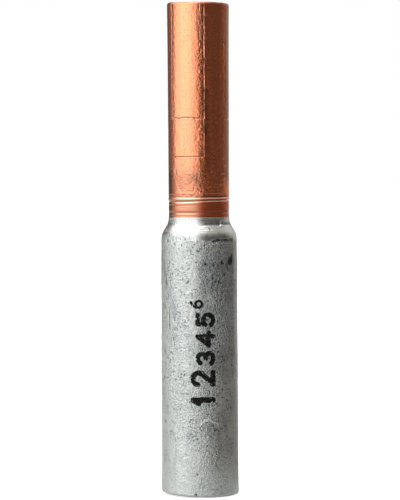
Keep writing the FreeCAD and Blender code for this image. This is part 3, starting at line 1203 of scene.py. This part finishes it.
@dataclass
class AluminiumBarrel(Barrel):
    """The aluminium barrel: dull pitted tube, turned shoulder and neck, and a mouth cut out of square.

    Its one line is the crack at the shoulder's foot.
    """

    node: str = "aluminium_barrel"
    slot: str = "aluminium"
    inward: int = 1
    skin_radius: float = 5.5
    neck_radius: float = 4.43
    bore_depth: float = 33.0
    rim_round: float = 0.30
    bore_rings: int = 10
    points_front: int = 206
    points_back: int = 94
    flare_length: float = 5.0
    flare_rise: float = 0.05
    neck_drop: float = 0.56
    shoulder_slope: float = 27.5
    shoulder_round: float = 2.6
    root_round: float = 1.6
    mouth_lean: float = 1.6
    turned_drop: float = 3.45
    pit_depth: float = 0.05
    rings_turned: tuple[Ring, ...] = (
        Ring(-0.30, 0.12, 0.10, 0.010, 0.0),
        Ring(-1.10, 0.50, 0.95, 0.055, 0.02),
        Ring(-2.05, 0.12, 0.10, 0.010, 0.0),
    )
    lines: tuple[Bite, ...] = (
        Bite(Run.ROUND, 37.05, 22.0, 62.0, width=0.72, depth=0.12, lip=0.0, wander=0.10),
    )
    marks: tuple[Mark, ...] = (
        Mark(38.5, 39.45, 0.6, 0.30, 0.06, 10.0),
        Mark(42.5, 39.45, 0.9, 0.20, -0.12, 14.0),
        Mark(44.0, 39.25, 0.5, 0.20, -0.10, 70.0),
        Mark(22.7, 37.0, 0.45, 0.4, 0.10, 60.0),
        Mark(-0.5, 35.6, 0.40, 0.3, 0.07, 40.0),
        Mark(9.4, 33.8, 0.35, 0.32, 0.09, 20.0),
        Mark(60.3, 34.75, 0.9, 0.40, 0.12, 0.0),
        Mark(56.0, 34.05, 1.25, 1.60, 0.20, -20.0),
        Mark(36.5, 33.9, 0.5, 0.4, 0.09, 20.0),
        Mark(31.0, 31.2, 0.4, 0.3, 0.07, -20.0),
        Mark(42.0, 32.2, 0.5, 0.3, 0.07, 60.0),
        Mark(47.5, 33.4, 1.3, 0.24, 0.07, 0.0),
        Mark(39.0, 33.8, 0.4, 0.24, 0.07, 0.0),
        Mark(-40.4, 36.6, 0.3, 0.25, 0.06, 0.0),
        Mark(-55.9, 37.0, 0.4, 0.35, 0.08, 50.0),
        Mark(20.2, 31.7, 0.5, 0.25, 0.07, 10.0),
        Mark(-16.8, 31.2, 0.6, 0.22, 0.06, 30.0),
        Mark(-15.2, 19.4, 0.35, 0.22, 0.05, 40.0),
        Mark(-23.2, 17.8, 0.25, 0.22, 0.05, 0.0),
        Mark(-42.7, 22.9, 0.9, 0.25, 0.05, 20.0),
        Mark(-52.0, 25.6, 3.6, 0.26, 0.05, 0.0),
        Mark(-65.0, 32.6, 3.4, 0.30, 0.05, 0.0),
        Mark(-60.0, 31.2, 2.6, 0.24, 0.05, 1.0),
        Mark(-73.0, 33.4, 2.4, 0.35, 0.06, 0.0),
        Mark(-24.0, 15.1, 2.6, 0.16, 0.03, 90.0),
        Mark(48.0, 15.6, 1.6, 0.18, 0.04, 82.0),
        Mark(-65.3, 21.1, 0.7, 0.30, 0.06, 0.0),
        Mark(-63.2, 10.8, 0.7, 0.25, 0.06, 10.0),
        Mark(-3.8, 3.5, 0.35, 0.3, 0.08, 0.0),
        Mark(-8.0, 3.2, 0.7, 0.2, 0.03, 60.0),
        Mark(-5.9, 0.30, 0.5, 0.4, 0.12, 0.0),
        Mark(26.9, 5.6, 0.55, 0.2, 0.05, 25.0),
        Mark(3.5, 10.9, 1.0, 0.22, -0.040, 40.0),
        Mark(10.0, 11.3, 1.4, 0.22, -0.045, 88.0),
        Mark(23.0, 10.9, 1.8, 0.22, -0.05, -70.0),
        Mark(-44.0, 10.9, 1.4, 0.20, 0.04, -55.0),
        Mark(-20.0, 5.9, 1.2, 0.20, -0.03, 80.0),
    )

    def mouth_radius(self) -> float:
        """The barrel's outer radius at its mouth."""
        return float(self.tube_radius(np.zeros(1))[0])

    def tube_radius(self, height: Array) -> Array:
        """The drawn tube's radius, which swells a little downward and flares at the mouth.

        Args:
            height: Heights along the tube.

        Returns:
            Its radius at each.
        """
        drawn = 0.050 * smooth(37.0, 31.0, height) + 0.040 * smooth(26.0, 21.0, height)
        flare = self.flare_rise * np.clip(1 - height / self.flare_length, 0.0, 1.0)
        return self.skin_radius + (drawn + flare)

    def shoulder(self) -> Array:
        """The neck, its blend, the cone, and the blend into the tube, from the weld down.

        Returns:
            Its (radius, height) rows.
        """
        slope = math.radians(self.shoulder_slope)
        neck_corner = self.weld - self.neck_drop
        wall_corner = neck_corner - (self.skin_radius - self.neck_radius) / math.tan(slope)
        reach = math.tan(slope / 2)
        root_middle = (self.neck_radius + self.root_round, neck_corner + self.root_round * reach)
        wall_middle = (self.skin_radius - self.shoulder_round, wall_corner - self.shoulder_round * reach)
        root = oval(root_middle, (self.root_round,) * 2, 180.0, 180.0 + self.shoulder_slope, 14)
        blend = oval(wall_middle, (self.shoulder_round,) * 2, self.shoulder_slope, 0.0, 16)
        neck = np.linspace((self.neck_radius, self.weld), root[0], 8)
        return np.concatenate([neck, root, np.linspace(root[-1], blend[0], 24), blend])

    def outside(self) -> Array:
        """The outside's outline from the mouth's rounded rim to the weld.

        Returns:
            Its (radius, height) rows: the flare, the tube and the shoulder.
        """
        shoulder = self.shoulder()[::-1]
        foot = spaced(self.rim_round, self.flare_length, 0.145)
        wall = np.concatenate([foot, spaced(self.flare_length, shoulder[0][1], 0.163)])
        return np.concatenate([np.stack([self.tube_radius(wall), wall], axis=1), shoulder])

    def raw_share(self, at: Skin) -> Array:
        """How much of the untouched tube's surface is left at each point.

        Args:
            at: The points.

        Returns:
            Shares from 0 to 1: full below the ragged edge at which the tool ran out, and dull
            patches over it, on the left.
        """
        under, side, apart = self.weld - at.height, at.side(), np.abs(at.side(40.0))
        wave = 0.22 * at.round_grain(41, 11) + 0.14 * at.round_grain(42, 47)
        edge = self.weld - self.turned_drop + wave * smooth(20.0, 50.0, apart)
        edge = edge - 0.40 * smooth(2.0, -38.0, side) + at.rough((0.30, 43, 130, 0.24))
        soft = 0.12 + 0.28 * smooth(14.0, 50.0, apart)
        dull = 0.62 * smooth(-52.0, -68.0, side) * smooth(-150.0, -110.0, side)
        haze = 0.70 * smooth(1.0, 0.7, under) + 0.85 * smooth(2.1, 2.7, under)
        patch = dull * (0.8 + at.rough((1.1, 44, 110, 0.3)))
        patch = np.clip(patch, haze * smooth(0.0, -20.0, side), 0.9)
        return np.maximum(smooth(edge + soft, edge - soft, at.height), patch * smooth(0.0, 0.2, under))

    def painted_root_shade(self, at: Skin) -> Array:
        """Painted shade: how dark the root of the cone is painted, mostly on the right.

        Args:
            at: The points.

        Returns:
            Shares from 0 to 1.
        """
        under = self.weld - at.height
        level = smooth(0.62, 0.80, under) * smooth(1.15, 1.02, under)
        return level * (0.10 + 0.70 * smooth(2.0, 14.0, at.side())) * (0.8 + at.rough((0.3, 47, 90, 0.15)))

    def relief(self, at: Skin) -> Array:
        """How far the skin stands proud of the plain turned form at each point.

        Args:
            at: The points.

        Returns:
            Millimetres: the pitted tube, the turned shoulder with its rings, the crack and marks.
        """
        calm = 0.45 + 0.55 * smooth(9.0, 17.0, at.height)
        pitted = calm * at.rough((0.018, 31, 78, 0.46), (0.012, 32, 118, 0.34))
        pitted = pitted + at.rough((0.010, 33, 34, 3.2), (0.030, 34, 6, 8.0))
        pitted = pitted - self.pit_depth * self.deep_pits(at)
        raw = self.raw_share(at)
        turned = at.rough((0.0035, 35, 3, 0.16)) - 0.006
        proud = pitted * raw + turned * (1.0 - raw) + self.turning(at) - self.pressed(at, self.marks)
        return proud * (0.2 + 0.8 * smooth(self.weld, self.weld - 0.3, at.height))

    @staticmethod
    def deep_pits(at: Skin) -> Array:
        """How far each point lies in one of the small pits scattered over the raw tube."""
        crowd = 0.875 + at.rough((0.125, 37, 9, 5.0))
        return smooth(0.62, 0.9, at.grain(36, 150, 0.23) * crowd)

    def settle(self, at: Skin, radius: Array) -> Array:
        """How far the slanted cut of the mouth moves each point along the axis.

        Args:
            at: The points.
            radius: The radius of each.

        Returns:
            Millimetres, which fade out above the mouth.
        """
        across = self.mouth_radius() - radius * np.sin(np.radians(at.turn))
        slant = across * math.tan(math.radians(self.mouth_lean))
        return smooth(2.2, 0.3, at.height) * (slant + 0.02 + 0.02 * at.round_grain(38, 36))

    def shares(self, at: Skin, rings: Rings) -> dict[str, Array]:
        """The named shares that the finish reads.

        Args:
            at: The points.
            rings: The rings they lie on.

        Returns:
            Turned, pitted with a patch of painted shade, scratched, painted shade on the right with darker
            patches, grainy, speckled and smeared, for each point.
        """
        height, side, outside, raw = at.height, at.side(), rings.skin[:, None], self.raw_share(at)
        shaded = smooth(-4.0, 14.0, side + 6.0 * smooth(35.5, 33.0, height)) * smooth(67.0, 59.0, side)
        middle = at.streak(2.0, 24.0, head=(20.0, 14.0))
        # Painted shade: the shaded right side of the tube is painted darker; the other terms are plain
        # darker streaks and a darker foot.
        soiled = shaded * smooth(14.0, 21.0, height) * (0.85 + at.rough((0.3, 45, 30, 1.6)))
        soiled = soiled + 0.06 * smooth(17.0, 10.0, height) + 0.12 * middle
        soiled = soiled + 0.42 * at.streak(8.0, 8.0, (9.0, 11.0), (18.0, 15.5))
        soiled = soiled + 0.20 * at.streak(-30.0, 12.0, (10.0, 13.0), (27.0, 24.0))
        grainy = 0.42 + 0.45 * smooth(8.0, 18.0, height) + at.rough((0.2, 39, 7, 6.0))
        grainy = grainy + 0.50 * middle + shaded * (0.25 + 0.45 * smooth(20.0, 27.0, height))
        speckled = 0.38 + 0.68 * smooth(2.0, 17.0, height) + at.rough((0.25, 46, 9, 4.0))
        speckled = speckled - 0.20 * smooth(-18.0, -34.0, side) * smooth(17.0, 12.0, height)
        speckled = speckled + (0.55 * middle + 0.50 * shaded) * smooth(2.0, 9.0, height)
        smeared = 0.30 + 0.50 * bell(height, 26.0, 4.5) * smooth(0.0, -20.0, side)
        return {
            "turned": (1.0 - raw) * outside,
            # Painted shade: a patch on the shaded side about 32.6 mm up is painted dark with the pits.
            "pitted": np.minimum(self.pits(at) + 0.24 * shaded * bell(height, 32.6, 3.4), 1.0) * outside,
            "scratched": self.scratches(at) * outside,
            "soiled": np.clip(soiled, 0.0, 1.0) * (0.3 + 0.7 * raw),
            "grainy": np.clip(grainy, 0.0, 1.5),
            "speckled": np.clip(speckled, 0.0, 1.6),
            "smeared": np.clip(smeared + 0.25 * bell(height, 10.0, 4.0), 0.0, 1.0),
        }

    def pits(self, at: Skin) -> Array:
        """How dark the pits, the hollow marks, the crack and the painted shade in the root of the cone are
        at each point.

        Args:
            at: The points.

        Returns:
            Shares from 0 to 1.
        """
        hollow = [mark for mark in self.marks if mark.depth > 0]
        marks = [smooth(0.25, 0.75, mark.press(at)) * min(1.0, mark.depth / 0.07) for mark in hollow]
        cracks = [0.95 * line.worn(at)[1] for line in self.lines]
        return strongest(0.6 * self.deep_pits(at), *marks, *cracks, self.painted_root_shade(at))

    def scratches(self, at: Skin) -> Array:
        """How bright the raised marks are at each point."""
        raised = ((mark.press(at), min(0.95, -mark.depth / 0.06)) for mark in self.marks if mark.depth < 0)
        return strongest(*(most * smooth(0.2, 0.7, share) for share, most in raised))


def line(x0: float, y0: float, x1: float, y1: float) -> Array:
    """Points along a straight stroke of a digit that fills a unit box."""
    return np.linspace((x0, y0), (x1, y1), 24)


DIGITS: dict[str, tuple[Array, ...]] = {
    "1": (line(0.62, 0.0, 0.62, 1.0), line(0.62, 1.0, 0.22, 0.74)),
    "2": (
        oval((0.5, 0.70), (0.46, 0.30), 165.0, -25.0),
        line(0.92, 0.58, 0.06, 0.0),
        line(0.06, 0.0, 0.98, 0.0),
    ),
    "3": (
        oval((0.46, 0.745), (0.42, 0.255), 160.0, -90.0),
        oval((0.46, 0.245), (0.48, 0.245), 90.0, -160.0),
    ),
    "4": (line(0.70, 0.0, 0.70, 1.0), line(0.70, 1.0, 0.0, 0.30), line(0.0, 0.30, 1.0, 0.30)),
    "5": (
        line(0.94, 1.0, 0.14, 1.0),
        line(0.14, 1.0, 0.06, 0.52),
        oval((0.46, 0.32), (0.50, 0.32), 140.0, -150.0),
    ),
    "6": (
        oval((0.5, 0.30), (0.48, 0.30), 0.0, 360.0),
        oval((0.90, 0.30), (0.88, 0.70), 180.0, 98.0),
    ),
}


@dataclass(frozen=True)
class Figure:
    """One printed digit: where it starts along the barrel, its size, and its pen."""

    digit: str
    start: float
    width: float
    foot: float
    tall: float
    pen: float


@dataclass
class InkMarking:
    """Plain numbers printed up the aluminium barrel, as a thin film that follows the tube."""

    barrel: AluminiumBarrel
    foot_turn: float = 24.0
    step: float = 0.045
    film: float = 0.016
    ragged: float = 0.035
    reach_up: Pair = (12.6, 29.2)
    reach_over: Pair = (-0.5, 4.1)
    figures: tuple[Figure, ...] = (
        Figure("1", 13.10, 2.00, 0.0, 3.65, 0.80),
        Figure("2", 16.00, 2.60, 0.0, 3.65, 0.76),
        Figure("3", 19.15, 2.25, 0.0, 2.90, 0.66),
        Figure("4", 21.80, 2.45, 0.0, 2.90, 0.66),
        Figure("5", 24.65, 2.25, 0.0, 2.90, 0.66),
        Figure("6", 27.35, 1.35, 1.75, 1.95, 0.38),
    )

    def skin(self, up: Array, over: Array) -> Skin:
        """The points at heights up the barrel and at distances over from the figures' foot."""
        radius = self.barrel.skin_radius
        return Skin(self.foot_turn - np.degrees(over / radius), up, radius)

    def depth_of_ink(self, up: Array, over: Array) -> Array:
        """How far inside the inked area each point lies, below zero outside it.

        Args:
            up: Heights along the barrel.
            over: Distances from the figures' foot towards their head.

        Returns:
            Distances in millimetres.
        """
        depth = np.full(np.broadcast(up, over).shape, -1.0)
        for figure in self.figures:
            half = figure.pen / 2
            scale = np.array([figure.width, figure.tall]) - figure.pen
            for stroke in DIGITS[figure.digit]:
                for x, y in stroke * scale + (figure.start + half, figure.foot + half):
                    depth = np.maximum(depth, half - np.hypot(up - x, over - y))
        return depth

    def build(self, finish: bpy.types.Material) -> bpy.types.Object:
        """Makes the film of ink and lays it on the barrel.

        Args:
            finish: The ink.

        Returns:
            The new object, riding on the sleeve's body.
        """
        up = np.arange(*self.reach_up, self.step)[:, None]
        over = np.arange(*self.reach_over, self.step)[None, :]
        at, depth = self.skin(up, over), self.depth_of_ink(up, over)
        gaps = smooth(0.52, 0.8, at.grain(53, 210, 0.17)) * 0.3
        ragged = at.rough((1.0, 51, 300, 0.11), (0.6, 52, 150, 0.23))
        flat, faces = self.traced(depth + self.ragged * ragged - gaps * smooth(-0.05, 0.12, depth))
        points, faces = self.thickened(flat * self.step + (up[0, 0], over[0, 0]), faces)
        piece = new_piece("ink_marking", (points * MM).tolist(), faces, finish)
        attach(piece, BODY)
        return piece

    @staticmethod
    def traced(level: Array) -> tuple[Array, Faces]:
        """Cuts the area above zero out of a grid, cell by cell.

        Args:
            level: The grid's values.

        Returns:
            Points in grid steps, and the faces between them.
        """
        points: list[Pair] = []
        known: dict[tuple, int] = {}
        faces: Faces = []

        def number(key: tuple, place: Pair) -> int:
            """The number of a point, made the first time it is asked for.

            Args:
                key: What the point is known by.
                place: Where it lies.

            Returns:
                Its number.
            """
            if key not in known:
                known[key] = len(points)
                points.append(place)
            return known[key]

        live = (level[:-1, :-1] > 0) | (level[1:, :-1] > 0) | (level[:-1, 1:] > 0) | (level[1:, 1:] > 0)
        for i, j in np.argwhere(live).tolist():
            ring = [(i, j), (i + 1, j), (i + 1, j + 1), (i, j + 1)]
            face = []
            for here, there in zip(ring, ring[1:] + ring[:1]):
                a, b = float(level[here]), float(level[there])
                if a > 0:
                    face.append(number(here, here))
                if (a > 0) != (b > 0):
                    spot = tuple(start + a / (a - b) * (end - start) for start, end in zip(here, there))
                    face.append(number((min(here, there), max(here, there)), spot))
            if len(face) >= 3:
                faces.append(tuple(face))
        return np.array(points), faces

    def thickened(self, flat: Array, faces: Faces) -> tuple[Array, Faces]:
        """Bends the flat film round the barrel and gives it a top, a base and an edge.

        Args:
            flat: The film's points, as rows of (up, over).
            faces: Its faces.

        Returns:
            The film's points in millimetres, and its faces.
        """
        at = self.skin(flat[:, 0], flat[:, 1])
        ground = self.barrel.tube_radius(at.height) + self.barrel.ground(at)
        rises = (self.film, -self.film)
        layers = [np.stack([*about_axis(ground + rise, at.turn), at.height], axis=1) for rise in rises]
        count = len(flat)
        edges = dict.fromkeys(pair for face in faces for pair in zip(face, face[1:] + face[:1]))
        side = [(a, b, b + count, a + count) for a, b in edges if (b, a) not in edges]
        base = [tuple(point + count for point in face) for face in faces]
        return np.concatenate(layers), [face[::-1] for face in faces] + base + side


@dataclass(frozen=True)
class PhotoCamera:
    """The camera at the photograph's place: in front, above the sleeve's middle, and pitched down."""

    distance: float = 300.0
    height: float = 48.22
    pitch: float = 2.415
    roll: float = -0.285
    side: float = 0.125
    focal_pixels: float = 2060.1
    frame_tall: float = 500.0
    sensor: float = 36.0
    clip: Pair = (0.01, 20.0)

    def place(self) -> bpy.types.Object:
        """Makes the camera and sets it as the scene's.

        Returns:
            The camera.
        """
        data = bpy.data.cameras.new("photo_camera")
        data.sensor_width = self.sensor
        data.lens = self.focal_pixels * self.sensor / self.frame_tall
        data.clip_start, data.clip_end = self.clip
        camera = bpy.data.objects.new("photo_camera", data)
        bpy.context.scene.collection.objects.link(camera)
        camera.location = (self.side * MM, -self.distance * MM, self.height * MM)
        tilt = Matrix.Rotation(math.radians(90.0 - self.pitch), 4, "X")
        spin = tilt @ Matrix.Rotation(math.radians(self.roll), 4, "Z")
        camera.rotation_mode = "XYZ"
        camera.rotation_euler = spin.to_euler()
        bpy.context.scene.camera = camera
        return camera


@dataclass(frozen=True)
class Studio:
    """A round light tent, bright on the left and draped on the right, on a pale table.

    The wall's glow is given low down and high up, as pairs of a turn and a level. Sizes are in metres.
    """

    wall_radius: float = 0.6
    wall_top: float = 1.15
    table_radius: float = 2.5
    glow: tuple[Pair, ...] = (
        (-180.0, 0.22), (-146.0, 0.16), (-133.0, 0.20), (-125.0, 0.29), (-117.0, 0.30), (-109.0, 0.44),
        (-102.0, 0.92), (-92.0, 2.00), (-62.0, 2.68), (-38.0, 2.50), (-22.0, 2.10), (-12.0, 1.60),
        (-5.0, 0.92), (5.0, 0.32), (14.0, 0.16), (26.0, 0.112), (36.0, 0.130), (48.0, 0.110),
        (62.0, 0.125), (84.0, 0.108), (100.0, 0.15), (114.0, 0.34), (128.0, 0.46), (145.0, 0.56),
        (165.0, 0.45), (180.0, 0.22),
    )
    high_glow: tuple[Pair, ...] = (
        (-180.0, 0.30), (-155.0, 0.45), (-138.0, 0.80), (-122.0, 1.25), (-105.0, 1.90), (-88.0, 2.35),
        (-62.0, 2.68), (-38.0, 2.50), (-22.0, 2.10), (-12.0, 1.50), (-4.0, 0.95), (6.0, 0.52),
        (16.0, 0.32), (28.0, 0.21), (42.0, 0.15), (62.0, 0.135), (84.0, 0.13), (100.0, 0.20),
        (120.0, 0.36), (145.0, 0.44), (165.0, 0.38), (180.0, 0.30),
    )
    brightest: float = 3.0
    overhead: float = 3.0
    low_cloth: float = 0.15
    shade_tint: Colour = (1.03, 0.97, 0.90)
    table_grey: Colour = (0.62, 0.62, 0.62)
    table_seen: float = 0.6
    table_mirrored: float = 0.1
    room_light: float = 0.8
    room_seen: float = 0.2
    drape_colour: Colour = (0.24, 0.22, 0.20)
    drape_turns: Pair = (8.0, 150.0)
    drape_reach: Pair = (0.014, 0.599)
    drape_height: float = 0.0004
    wall_steps: int = 96
    disc_steps: int = 64
    drape_steps: int = 48

    def build(self) -> None:
        """Makes the wall, the ceiling, the table, the drape and the surrounding light."""
        wall_turns = np.arange(self.wall_steps) * FULL_TURN / self.wall_steps
        disc_turns = np.arange(self.disc_steps) * FULL_TURN / self.disc_steps
        drape_turns = np.linspace(*self.drape_turns, self.drape_steps)
        wall = [self.ring(self.wall_radius, height, wall_turns) for height in (0.0, self.wall_top)]
        ceiling = self.ring(self.wall_radius, self.wall_top, disc_turns)
        table = self.ring(self.table_radius, 0.0, disc_turns)
        drape = [self.ring(reach, self.drape_height, drape_turns) for reach in self.drape_reach]
        disc = [tuple(range(self.disc_steps))]
        hung, laid = self.strip(self.wall_steps, True), self.strip(self.drape_steps, False)
        self.stand("tent_wall", sum(wall, []), hung, self.wall_cloth(), "camera")
        self.stand("tent_ceiling", ceiling, disc, self.ceiling_cloth(), "camera")
        self.stand("table_top", table, disc, self.table_top())
        self.stand("dark_drape", sum(drape, []), laid, self.drape_cloth(), "camera", "diffuse", "shadow")
        self.world()

    @staticmethod
    def ring(radius: float, height: float, turns: Array) -> list[tuple[float, float, float]]:
        """Points about the sleeve's axis, one at each turn."""
        return [(*about_axis(radius, turn), height) for turn in turns.tolist()]

    @staticmethod
    def strip(count: int, closed: bool) -> Faces:
        """Quads between two rows of points, with one more from last to first if they are closed."""
        steps = range(count if closed else count - 1)
        return [(i, (i + 1) % count, count + (i + 1) % count, count + i) for i in steps]

    @staticmethod
    def stand(name: str, points: list, faces: Faces, finish: bpy.types.Material, *hidden_from: str) -> None:
        """Makes one part of the studio.

        Args:
            name: The part's name.
            points: Its points.
            faces: Its faces.
            finish: Its material.
            hidden_from: The kinds of ray that don't see it.
        """
        piece = new_piece(name, points, faces, finish)
        for ray in hidden_from:
            setattr(piece, f"visible_{ray}", False)

    def stops(self, glow: tuple[Pair, ...]) -> list[Pair]:
        """A row of glows round the tent as the stops of a ramp."""
        return [(turn / FULL_TURN + 0.5, level / self.brightest) for turn, level in glow]

    def wall_cloth(self) -> bpy.types.Material:
        """The wall's glow, which varies round the tent and towards its top.

        Returns:
            The material.
        """
        material, sheet = new_finish("tent_cloth", cleared=True)
        axes = sheet.add("SeparateXYZ", {0: sheet.place()}).outputs
        angle = sheet.calculate("ARCTAN2", axes["X"], sheet.times(axes["Y"], -1.0))
        share = sheet.plus(angle, 1 / (2 * math.pi), 0.5)
        rise = sheet.calculate("DIVIDE", axes["Z"], self.wall_top)
        around = sheet.mixed(
            sheet.ramp(rise, [(0.20, 0.0), (0.42, 1.0)]),
            sheet.ramp(share, self.stops(self.glow)),
            sheet.ramp(share, self.stops(self.high_glow)),
        )
        hangs = sheet.ramp(share, [(0.74, 0.0), (0.82, self.low_cloth), (0.92, self.low_cloth), (1.0, 0.0)])
        rise = sheet.calculate("ADD", rise, hangs)
        upper = sheet.ramp(rise, [(0.24, 0.0), (0.46, 0.34), (0.75, 0.54)], Spread.EASE)
        shade = sheet.ramp(around, [(0.06, self.shade_tint), (0.25, (1.0, 1.0, 1.0))])
        level = sheet.plus(around, self.brightest, upper)
        sheet.surface(sheet.add("Emission", {"Color": shade, "Strength": level}))
        return material

    def ceiling_cloth(self) -> bpy.types.Material:
        """The even glow of the light cloth over the tent.

        Returns:
            The material.
        """
        material, sheet = new_finish("ceiling_cloth", cleared=True)
        sheet.surface(sheet.add("Emission", {"Strength": self.overhead}))
        return material

    def table_top(self) -> bpy.types.Material:
        """The pale table top that the sleeve stands on, which looks lighter than the light it throws.

        Returns:
            The material.
        """
        material, sheet = new_finish("pale_table", cleared=True)
        matt = sheet.add("BsdfDiffuse", {"Color": self.table_grey})
        camera = sheet.add("LightPath").outputs["Is Camera Ray"]
        lift = sheet.plus(camera, self.table_seen, sheet.times(self.seen(sheet), self.table_mirrored))
        glow = sheet.add("Emission", {"Strength": lift})
        sheet.surface(sheet.add("AddShader", {0: matt.outputs[0], 1: glow.outputs[0]}))
        return material

    def drape_cloth(self) -> bpy.types.Material:
        """The dark cloth that lies on the table on the right, outside the picture.

        Returns:
            The material.
        """
        material, sheet = new_finish("dark_cloth")
        sheet.dress(Base_Color=self.drape_colour, Roughness=1.0, Specular_IOR_Level=0.0)
        return material

    @staticmethod
    def seen(sheet: NodeSheet) -> Socket:
        """1 for a ray from the camera or off the metal, and 0 for one that only lights.

        Args:
            sheet: The node sheet that asks.

        Returns:
            The output socket.
        """
        path = sheet.add("LightPath").outputs
        rays = [path[f"Is {kind} Ray"] for kind in ("Camera", "Glossy", "Transmission")]
        return reduce(lambda first, second: sheet.calculate("MAXIMUM", first, second), rays)

    def world(self) -> None:
        """White surroundings for what is seen, and a softer light on everything."""
        world = bpy.data.worlds.new("white_room")
        bpy.context.scene.world = world
        world.use_nodes = True
        sheet = NodeSheet(world.node_tree)
        strength = sheet.plus(self.seen(sheet), self.room_seen, self.room_light)
        sheet.feed(world.node_tree.nodes["Background"], {"Color": (1.0, 1.0, 1.0), "Strength": strength})


def main() -> None:
    """Builds the camera, the studio, both barrels and the marking."""
    logging.basicConfig(level=logging.INFO, format="%(message)s")
    bpy.context.scene.view_settings.view_transform = "Standard"
    PhotoCamera().place()
    Studio().build()
    aluminium = AluminiumBarrel()
    aluminium.build(AluminiumFinish().material())
    CopperBarrel().build(CopperFinish().material())
    InkMarking(aluminium).build(InkFinish().material())


if __name__ == "__main__":
    main()
